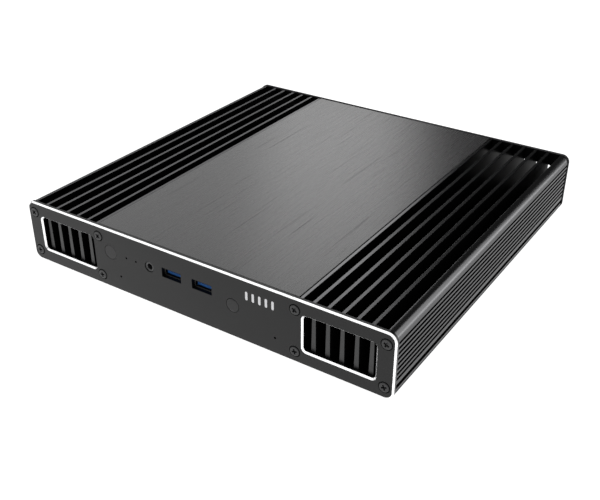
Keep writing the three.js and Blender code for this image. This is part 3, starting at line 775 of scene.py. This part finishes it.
def panel(side, face, edge, extra_holes):
    """A panel with its vents, its sunk screw holes and its ports."""
    top = PANEL_THICKNESS
    solid = Solid()
    rim = rounded_rectangle(0, 0, PANEL_WIDTH, PANEL_HEIGHT, CORNER, 12)
    back, front = solid.wall(rim, *edge(-1))
    holes = list(extra_holes)
    for vent in (-1, 1):
        outline = rounded_rectangle(vent * VENT_U, 0, VENT_WIDTH, VENT_HEIGHT, VENT_CORNER, 10)
        holes.append((outline, *edge(1)))
    sink, reach = top - SINK_DEPTH, SINK_RADIUS - SCREW_HOLE
    steps = [(0, 0), (0, sink), (reach, sink), (reach, top - 0.06), (reach + 0.06, top)]
    for i in PANEL_SCREWS:
        u, v, _, _ = on_face(f"{side}_screw_{i}", face)
        holes.append((circle(u, v, SCREW_HOLE, 40), steps, {}))
    backs, fronts = [], []
    for outline, steps, inks in holes:
        hole_back, hole_front = solid.wall(outline, steps, inks)
        backs.append(hole_back)
        fronts.append(hole_front)
    solid.cap(back, backs)
    solid.cap(front, fronts)
    mesh = solid.mesh(f"{side}_panel", finishes(*PANEL_FINISHES), face)
    add_piece(f"{side}_panel_plate", mesh, [f"{side}_panel"])


def round_hole(node, radius, steps):
    """A plain hole in the front panel, in front of a node."""
    u, v, _, _ = on_face(node, FRONT)
    return simple_hole(circle(u, v, radius, steps))


def front_panel():
    holes = [round_hole("ir_window", IR_HOLE, 64)]
    holes += [round_hole(f"led_pipe_{i}", LIGHT_HOLE, 24) for i in PAIR]
    holes += [round_hole(f"microphone_{i}", MIC_HOLE, 24) for i in PAIR]
    holes.append(round_hole("headphone_jack", JACK_HOLE, 48))
    for i in PAIR:
        u, v, _, _ = on_face(f"front_usb_shell_{i}", FRONT)
        holes.append(simple_hole(rounded_rectangle(u, v, USB_CUT_WIDTH, USB_CUT_HEIGHT, 0.3, 4)))
    holes.append(round_hole("power_button", BUTTON_HOLE, 64))
    panel("front", FRONT, slanted_edge, holes)


def rear_panel():
    inlet_u, inlet_v, _, _ = on_face("power_inlet", REAR)
    holes = [simple_hole(circle(inlet_u, inlet_v, INLET_HOLE, 48))]
    spare = 2 * PORT_CLEARANCE
    for node in ("lan_socket", "hdmi_socket", "rear_usb_stack"):
        u, v, width, height = on_face(node, REAR)
        holes.append(simple_hole(rounded_rectangle(u, v, width + spare, height + spare, 0.4, 4)))
    panel("rear", REAR, plain_edge, holes)


def front_mark():
    """A generic printed mark: five short round-ended bars, like the five fins behind a vent."""
    ink_height = 0.01
    solid = Solid()
    for i in range(BAR_COUNT):
        bar = rounded_rectangle(BAR_FIRST + i * BAR_PITCH, BAR_ROW, BAR_WIDTH, BAR_HEIGHT, 0.74, 6)
        solid.prism(bar, [(0, PANEL_THICKNESS - ink_height), (0, PANEL_THICKNESS + ink_height)])
    mesh = solid.mesh("front_mark", finishes("printed_mark"), FRONT)
    add_piece("front_mark", mesh)


# ---------------------------------------------------------------- fasteners and feet

def head_with_recess(solid, ring):
    """Closes a screw's head with a tapered cross recess."""
    cross = cross_outline(RECESS_REACH, RECESS_HALF_WIDTH)
    mouth, floor = solid.wall(cross, [(0.1, 0), (0, -0.12), (-0.14, -RECESS_DEPTH)])
    solid.cap(floor)
    solid.cap(ring, [mouth])


def low_head_mesh():
    """A panel screw. w is 0 at the top of its head."""
    head = SINK_DEPTH + 0.4
    solid = Solid()
    tip, top = solid.wall(circle(0, 0, 0, 40), [
        (SHANK_RADIUS - 0.4, -head - SCREW_LENGTH), (SHANK_RADIUS, 0.4 - head - SCREW_LENGTH),
        (SHANK_RADIUS, -head), (HEAD_RADIUS, -head), (HEAD_RADIUS, -0.42), (HEAD_RADIUS - 0.06, -0.22),
        (HEAD_RADIUS - 0.22, -0.07), (HEAD_RADIUS - 0.5, 0),
    ])
    solid.cap(tip)
    head_with_recess(solid, top)
    return solid.mesh("low_head_screw", finishes("screw_black"))


def flat_head_mesh():
    """A screw of the base cover. w is 0 at the top of its head."""
    solid = Solid()
    tip, top = solid.wall(circle(0, 0, 0, 40), [
        (SHANK_RADIUS - 0.4, -BASE_SHANK_END), (SHANK_RADIUS, 0.4 - BASE_SHANK_END),
        (SHANK_RADIUS, -1.5), (BASE_HEAD_RADIUS, -0.1), (BASE_HEAD_RADIUS, 0),
    ])
    solid.cap(tip)
    head_with_recess(solid, top)
    return solid.mesh("flat_head_screw", finishes("screw_black"))


def turned_in(place, u, v, w, turn):
    """Where a screw stands, with its recess turned as it happened to be tightened."""
    return place @ Matrix.Translation((u, v, w)) @ Matrix.Rotation(turn, 4, "Z")


def screws():
    """The screws that show. Each is turned on by the golden angle, in radians, from the one before."""
    low_head = low_head_mesh()
    golden_turn = 2.4
    for side, face in (("front", FRONT), ("rear", REAR)):
        for i in PANEL_SCREWS:
            node = f"{side}_screw_{i}"
            u, v, _, _ = on_face(node, face)
            matrix = turned_in(face, u, v, outer_end(node, face), golden_turn * i)
            add_piece(node + "_body", low_head, [node], matrix=matrix)
    flat_head = flat_head_mesh()
    for i in COVER_SCREWS:
        node = f"base_screw_{i}"
        u, v, _, _ = on_face(node, DOWNWARD)
        matrix = turned_in(DOWNWARD, u, v, outer_end(node, DOWNWARD), golden_turn * i)
        add_piece(node + "_body", flat_head, [node], matrix=matrix)


def feet():
    for i in FEET:
        node = f"foot_{i}"
        u, v, width, _ = on_face(node, DOWNWARD)
        top = -box_mm(node)[1].z
        radius = width / 2
        solid = Solid()
        solid.prism(circle(u, v, 0, 48), [
            (radius - 0.2, top), (radius, top + 0.3), (radius, -0.6), (radius - 0.18, -0.18),
            (radius - 0.6, 0), (radius - 2.2, 0), (radius - 2.5, -0.35), (0.5, -0.35),
        ])
        mesh = solid.mesh(node, finishes("foot_rubber"), DOWNWARD)
        add_piece(node + "_pad", mesh, [node])


# ---------------------------------------------------------------- front ports

def ir_window():
    u, v, width, _ = on_face("ir_window", FRONT)
    flange, radius = width / 2, IR_HOLE - 0.1
    face = PANEL_THICKNESS - 0.05
    solid = Solid()
    solid.prism(circle(u, v, 0, 64), [
        (flange, -1.2), (flange, -0.1), (radius, -0.1), (radius, face - 0.12),
        (radius - 0.12, face - 0.02), (radius - 0.5, face),
    ])
    mesh = solid.mesh("ir_window", finishes("tinted_plastic"), FRONT)
    add_piece("ir_window_lens", mesh, ["ir_window"])


def light_pipes():
    for i in PAIR:
        node = f"led_pipe_{i}"
        u, v, width, _ = on_face(node, FRONT)
        end = outer_end(node, FRONT)
        radius = width / 2
        solid = Solid()
        solid.prism(circle(u, v, 0, 20), [
            (radius, BOARD_FACE), (radius, end - 0.2), (radius * 0.8, end - 0.06), (radius * 0.4, end),
        ])
        mesh = solid.mesh(node, finishes("clear_plastic"), FRONT)
        add_piece(node + "_rod", mesh, [node])


def headphone_jack():
    u, v, width, height = on_face("headphone_jack", FRONT)
    nose, bore, depth = JACK_HOLE - 0.15, 1.8, 12
    face = PANEL_THICKNESS - 0.4
    solid = Solid()
    back, shoulder = solid.wall(
        rounded_rectangle(u, v, width, height, 0.8), [(0, BOARD_FACE), (0, -0.4), (-0.3, -0.1)],
    )
    ring_bands = {band: 1 for band in (3, 4, 5)}
    foot, floor = solid.wall(circle(u, v, 0, 48), [
        (nose, -0.1), (nose, face - 0.25), (nose - 0.2, face), (nose - 0.5, face),
        (nose - 0.5, face - 0.1), (bore + 0.25, face - 0.1), (bore, face - 0.3), (bore, face - depth),
    ], ring_bands)
    solid.cap(back)
    solid.cap(shoulder, [foot])
    solid.cap(floor)
    mesh = solid.mesh("headphone_jack", finishes("black_plastic", "jack_ring"), FRONT)
    add_piece("headphone_jack_body", mesh, ["headphone_jack"])


def contact_row(solid, u, v, count, pitch, width, back, front):
    """Contact strips that lie on a tongue and dip at its front end."""
    thickness = 0.16
    for k in range(count):
        across = u + (k - (count - 1) / 2) * pitch
        strip = rounded_rectangle(across, v, width, thickness, 0.05, 2)
        solid.prism(strip, [(0, back), (0, front - 0.15), (-0.05, front)])


def usb_tongue(solid, contacts, u, v, back, front, direction):
    """A USB-A tongue off the mouth's middle. Its contacts face the wide side of the mouth."""
    middle = v + direction * TONGUE_OFFSET
    solid.prism(rounded_rectangle(u, middle, TONGUE_WIDTH, TONGUE_THICKNESS, 0.15, 3), [
        (0, back), (0, front - 0.35), (-0.12, front - 0.1), (-0.35, front),
    ])
    surface = middle - direction * (TONGUE_THICKNESS / 2 + 0.02)
    contact_row(contacts, u, surface, 4, 2.2, 1.0, back, front - 3.4)
    contact_row(contacts, u, surface, 5, 2.0, 0.5, front - 3.0, front - 1.4)


def front_usb():
    """Two sockets, each with a shell, a blue tongue on a blue floor, and its contacts."""
    for i in PAIR:
        shell_node, tongue_node = f"front_usb_shell_{i}", f"front_usb_tongue_{i}"
        u, v, width, height = on_face(shell_node, FRONT)
        shell = Solid()
        outer = rounded_rectangle(u, v, width, height, 0.8)
        mouth = rounded_rectangle(u, v, USB_MOUTH_WIDTH, USB_MOUTH_HEIGHT, 0.45)
        back, rim = shell.wall(outer, [(0, BOARD_FACE), (0, -0.35), (-0.2, -0.1)])
        hole, lip = shell.wall(mouth, [(0, BOARD_FACE), (0, -0.6), (0.12, -0.25), (0.4, -0.1)])
        shell.cap(back, [hole])
        shell.cap(rim, [lip])
        # The slot is the rear sockets' plated steel; only the look is darker, painted shade for a shell
        # in the panel's shadow.
        mesh = shell.mesh(shell_node, finishes("shaded_shell"), FRONT)
        add_piece(shell_node + "_body", mesh, [shell_node])

        tongue, contacts = Solid(), Solid()
        tongue.prism(
            rounded_rectangle(u, v, USB_MOUTH_WIDTH - 0.2, USB_MOUTH_HEIGHT - 0.2, 0.4),
            [(0, BOARD_FACE), (0, BOARD_FACE + 2.2), (-0.2, BOARD_FACE + 2.4)],
        )
        usb_tongue(tongue, contacts, u, v, BOARD_FACE + 1, -0.8, -1)
        mesh = tongue.mesh(tongue_node, finishes("usb_blue"), FRONT)
        add_piece(tongue_node + "_body", mesh, [tongue_node])
        mesh = contacts.mesh(f"front_usb_contacts_{i}", finishes("contact_gold"), FRONT)
        add_piece(f"front_usb_contacts_{i}", mesh)


def power_button():
    """A cap with a flange behind the panel and a stem towards the switch."""
    u, v, width, _ = on_face("power_button", FRONT)
    radius, flange, stem = 4.0, width / 2, 1.8
    tail, face = -8.1, PANEL_THICKNESS
    solid = Solid()
    solid.prism(circle(u, v, 0, 72), [
        (stem - 0.2, tail), (stem, tail + 0.2), (stem, -1.5), (stem + 0.3, -1.2),
        (flange, -1.2), (flange, -0.1), (radius, -0.1), (radius, face - 0.22),
        (radius - 0.07, face - 0.07), (radius - 0.22, face),
    ])
    mesh = solid.mesh("power_button", finishes("button_black"), FRONT)
    add_piece("power_button_cap", mesh, ["power_button"], BUTTON_BODY)


# ---------------------------------------------------------------- rear ports

PORT_FACE = PANEL_THICKNESS - PORT_DEPTH


def metal_socket(node, mouths, depth, floor_ink=1):
    """A folded metal shell with mouths (outline, reach), each lined with plastic behind its lip."""
    u, v, width, height = on_face(node, REAR)
    solid = Solid()
    back, rim = solid.wall(
        rounded_rectangle(u, v, width, height, 0.5),
        [(0, PORT_FACE - depth), (0, PORT_FACE - 0.2), (-0.2, PORT_FACE)],
    )
    lips = []
    for outline, reach in mouths:
        lip, floor = solid.wall(outline, [
            (0.15, PORT_FACE), (0, PORT_FACE - 0.15), (0, PORT_FACE - 0.7), (0, PORT_FACE - reach),
        ], {2: floor_ink})
        solid.cap(floor, ink=floor_ink)
        lips.append(lip)
    solid.cap(back)
    solid.cap(rim, lips)
    mesh = solid.mesh(node, finishes("nickel_shell", "black_plastic"), REAR)
    add_piece(node + "_body", mesh, [node])


def add_rear_piece(name, solid, slot):
    """A piece in the rear panel's place that stands for no CAD node."""
    add_piece(name, solid.mesh(name, finishes(slot), REAR))


def lan_socket():
    u, v, _, _ = on_face("lan_socket", REAR)
    half, low, high, latch, notch = 5.95, v - 3.4, v + 4.6, 3.1, 1.8
    contact_count, contact_pitch = 8, 1.02
    mouth = polygon([
        (u - half, low), (u - latch, low), (u - latch, low - notch), (u + latch, low - notch),
        (u + latch, low), (u + half, low), (u + half, high), (u - half, high),
    ])
    metal_socket("lan_socket", [(mouth, 11.5)], 21)
    contacts = Solid()
    for k in range(contact_count):
        across = u + (k - (contact_count - 1) / 2) * contact_pitch
        contacts.prism(
            rounded_rectangle(across, high - 1.2, 0.5, 0.3, 0.1, 2),
            [(0, PORT_FACE - 11.4), (0, PORT_FACE - 2.4), (-0.08, PORT_FACE - 2.2)],
        )
    add_rear_piece("lan_contacts", contacts, "contact_gold")
    lamps = Solid()
    for side in (-1, 1):
        lamp = rounded_rectangle(u + side * 5.6, low - 1.25, 2.8, 1.3, 0.25, 4)
        lamps.prism(lamp, [(0, PORT_FACE - 0.1), (0, PORT_FACE + 0.05), (-0.1, PORT_FACE + 0.12)])
    add_rear_piece("lan_lamps", lamps, "clear_plastic")


def hdmi_socket():
    u, v, _, _ = on_face("hdmi_socket", REAR)
    half, narrow, low, high, bend = 7.0, 5.2, v - 2.3, v + 2.3, v - 0.9
    mouth = polygon([
        (u - narrow, low), (u + narrow, low), (u + half, bend), (u + half, high),
        (u - half, high), (u - half, bend),
    ])
    metal_socket("hdmi_socket", [(mouth, 8)], 12)
    tongue, contacts = Solid(), Solid()
    tongue.prism(rounded_rectangle(u, v + 0.3, 11.6, 1.2, 0.15, 3), [
        (0, PORT_FACE - 8), (0, PORT_FACE - 1.1), (-0.2, PORT_FACE - 0.9),
    ])
    contact_row(contacts, u, v + 0.92, 10, 1.0, 0.45, PORT_FACE - 7.8, PORT_FACE - 1.6)
    add_rear_piece("hdmi_tongue", tongue, "black_plastic")
    add_rear_piece("hdmi_contacts", contacts, "contact_gold")


def rear_usb_stack():
    u, v, _, _ = on_face("rear_usb_stack", REAR)
    half_pitch = 3.8
    rows = [v - half_pitch, v + half_pitch]
    reach = 9
    mouths = [(rounded_rectangle(u, row, USB_MOUTH_WIDTH, USB_MOUTH_HEIGHT, 0.4), reach) for row in rows]
    metal_socket("rear_usb_stack", mouths, 17, floor_ink=0)
    tongues, contacts = Solid(), Solid()
    for row in rows:
        usb_tongue(tongues, contacts, u, row, PORT_FACE - reach, PORT_FACE - 0.9, 1)
    add_rear_piece("rear_usb_tongues", tongues, "usb_blue")
    add_rear_piece("rear_usb_contacts", contacts, "contact_gold")


def power_inlet():
    u, v, width, height = on_face("power_inlet", REAR)
    collar, bore, pin = INLET_HOLE - 0.3, 3.0, 1.2
    housing_back, bore_floor = -14, -9
    metal = 1
    solid = Solid()
    back, shoulder = solid.wall(
        rounded_rectangle(u, v, width, height, 0.6), [(0, housing_back), (0, -0.3), (-0.2, -0.1)],
    )
    foot, floor = solid.wall(circle(u, v, 0, 48), [
        (collar, -0.1), (collar, PORT_FACE - 0.3), (collar - 0.3, PORT_FACE),
        (bore + 0.4, PORT_FACE), (bore, PORT_FACE - 0.4), (bore, bore_floor),
    ], {4: metal})
    pin_foot, pin_tip = solid.wall(circle(u, v, 0, 24), [
        (pin, bore_floor), (pin, PORT_FACE - 2.3), (pin * 0.8, PORT_FACE - 1.8),
        (pin * 0.4, PORT_FACE - 1.55),
    ], ink=metal)
    solid.cap(back)
    solid.cap(shoulder, [foot])
    solid.cap(floor, [pin_foot])
    solid.cap(pin_tip, ink=metal)
    mesh = solid.mesh("power_inlet", finishes("black_plastic", "nickel_shell"), REAR)
    add_piece("power_inlet_body", mesh, ["power_inlet"])


# ---------------------------------------------------------------- CAD nodes that stay

def dress_cad_nodes():
    """The hidden inner parts keep their CAD shape, and each takes its slot's material."""
    slots = {part["node"]: part["material_slot"] for part in frame["record"]["subparts"]}
    for name, node in frame["nodes"].items():
        node.data.materials.clear()
        node.data.materials.append(MATERIALS[slots[name]])


# ---------------------------------------------------------------- camera, light and floor

# The camera looks at TARGET. Places are in metres, angles in degrees and the lens in millimetres.
TARGET = Vector((0.02506, -0.05223, 0.02125))
AZIMUTH, ELEVATION, ROLL, DISTANCE = 33.34, 30.46, 0.17, 0.5126
LENS = 52.97

# Watts that an area light takes for each square metre and each unit of radiance.
WATTS_PER_RADIANCE = 4
WORLD_TO_OBJECT, WORLD_TO_CAMERA = 0.06, 1.0
FLOOR_TO_OBJECT, FLOOR_TO_CAMERA = 1.3, 0.98
FLOOR_HALF = 30.0


def direction(azimuth, elevation):
    """From the object towards someone at this azimuth, where 0 is straight in front of it."""
    a, e = math.radians(azimuth), math.radians(elevation)
    return Vector((math.sin(a) * math.cos(e), -math.cos(a) * math.cos(e), math.sin(e)))


def facing_inwards(outward):
    """The turn of a camera or light that looks back along a direction, with its top upwards."""
    return outward.to_track_quat("Z", "Y").to_matrix().to_4x4()


def camera():
    data = bpy.data.cameras.new("camera")
    data.lens = LENS
    data.sensor_width = 36
    data.clip_start, data.clip_end = 0.01, 100
    made = bpy.data.objects.new("camera", data)
    bpy.context.scene.collection.objects.link(made)
    outward = direction(AZIMUTH, ELEVATION)
    turn = facing_inwards(outward) @ Matrix.Rotation(math.radians(ROLL), 4, "Z")
    made.matrix_world = Matrix.Translation(TARGET + outward * DISTANCE) @ turn
    bpy.context.scene.camera = made


def softbox(name, azimuth, elevation, distance, width, height, radiance):
    """A rectangular light that faces the object from that direction, in degrees and metres."""
    data = bpy.data.lights.new(name, "AREA")
    data.shape = "RECTANGLE"
    data.size, data.size_y = width, height
    data.energy = radiance * WATTS_PER_RADIANCE * width * height
    light = bpy.data.objects.new(name, data)
    bpy.context.scene.collection.objects.link(light)
    outward = direction(azimuth, elevation)
    light.matrix_world = Matrix.Translation(outward * distance) @ facing_inwards(outward)


def lights():
    """Each has its azimuth, elevation, distance, width, height and radiance. 180 is behind."""
    softbox("overhead", 0, 89.9, 1.8, 1.6, 1.6, 0.8)
    softbox("key_front_left", -50, 44, 1.6, 3.0, 1.7, 1.06)
    softbox("key_front_right", 48, 30, 1.6, 1.4, 1.4, 1.06)
    softbox("back_left", 180 + 43, 30, 1.8, 1.1, 0.85, 1.1)
    softbox("back_left_middle", 180 + 29.4, 31, 1.8, 0.44, 0.8, 1.07)
    softbox("back_right_low", 180 - 43, 6.2, 1.8, 0.96, 0.38, 3.2)
    softbox("back_right_high", 180 - 44, 26, 1.8, 0.96, 0.88, 1.6)


def world():
    """Pale to the camera, dim to the object, so that the softboxes shape its reflections."""
    made = bpy.data.worlds.new("world")
    bpy.context.scene.world = made
    made.use_nodes = True
    nodes, links = made.node_tree.nodes, made.node_tree.links
    background = nodes["Background"]
    path = nodes.new("ShaderNodeLightPath")
    strength = nodes.new("ShaderNodeMapRange")
    strength.inputs["To Min"].default_value = WORLD_TO_OBJECT
    strength.inputs["To Max"].default_value = WORLD_TO_CAMERA
    links.new(path.outputs["Is Camera Ray"], strength.inputs["Value"])
    links.new(strength.outputs["Result"], background.inputs["Strength"])
    background.inputs["Color"].default_value = (1, 1, 1, 1)


def white_floor():
    """White to the camera, and a little brighter to the object, which keeps its outline crisp."""
    mesh = bpy.data.meshes.new("floor")
    far = FLOOR_HALF
    corners = [(-far, -far, 0), (far, -far, 0), (far, far, 0), (-far, far, 0)]
    mesh.from_pydata(corners, [], [(0, 1, 2, 3)])
    s = Shader("floor", (0.25, 0.25, 0.25), 0.9, specular=0.1)
    s.vary_roughness(s.noise((0.002, 0.002, 0.002)), 0.05)
    s.set("Emission Color", (1, 1, 1, 1))
    seen = s.node("ShaderNodeLightPath").outputs["Is Camera Ray"]
    glow = s.spread(seen, FLOOR_TO_OBJECT, FLOOR_TO_CAMERA, 0, 1)
    s.link(glow, s.shader.inputs["Emission Strength"])
    mesh.materials.append(s.material)
    made = bpy.data.objects.new("floor", mesh)
    bpy.context.scene.collection.objects.link(made)


# ---------------------------------------------------------------- scene

camera()
lights()
world()
white_floor()
bpy.context.scene.view_settings.view_transform = "Standard"

heatsink(-1)
heatsink(1)
top_cover()
base_cover()
base_posts()
front_panel()
rear_panel()
front_mark()
screws()
feet()
ir_window()
light_pipes()
headphone_jack()
front_usb()
power_button()
lan_socket()
hdmi_socket()
rear_usb_stack()
power_inlet()
dress_cad_nodes()
